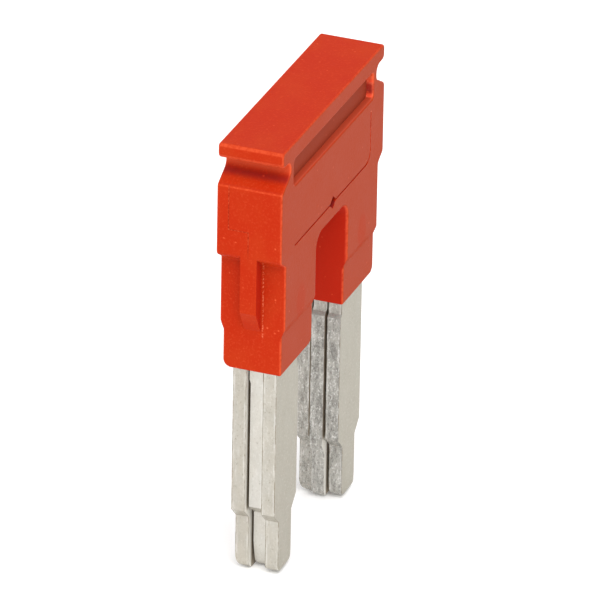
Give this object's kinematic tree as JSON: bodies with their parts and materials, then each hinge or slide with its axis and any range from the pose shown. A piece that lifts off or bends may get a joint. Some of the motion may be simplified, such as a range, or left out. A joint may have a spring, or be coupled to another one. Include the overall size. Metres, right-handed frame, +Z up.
{
  "type": "terminal block jumper bar",
  "caption": "Plug-in jumper bar for terminal blocks: flat insulating grip with shrouds around stacked metal blades that link neighbouring terminals.",
  "frame": {"origin": "centre of the footprint, at the height of the blade tips", "axes": "+X from one pair of terminals to the next, +Y through the thickness, +Z up from the blade tips to the grip plate"},
  "size_m": [0.0192, 0.0046, 0.0327],
  "materials": {
    "housing_plastic": "moulded red polyamide, fine eroded texture with a soft sheen",
    "tinned_metal": "dull tin plating on copper alloy, sheared and speckled on the inner edges"
  },
  "bodies": {
    "root": {"insulating_housing": "housing_plastic", "near_comb": "tinned_metal", "middle_comb": "tinned_metal", "far_comb": "tinned_metal"}
  },
  "joints": []
}
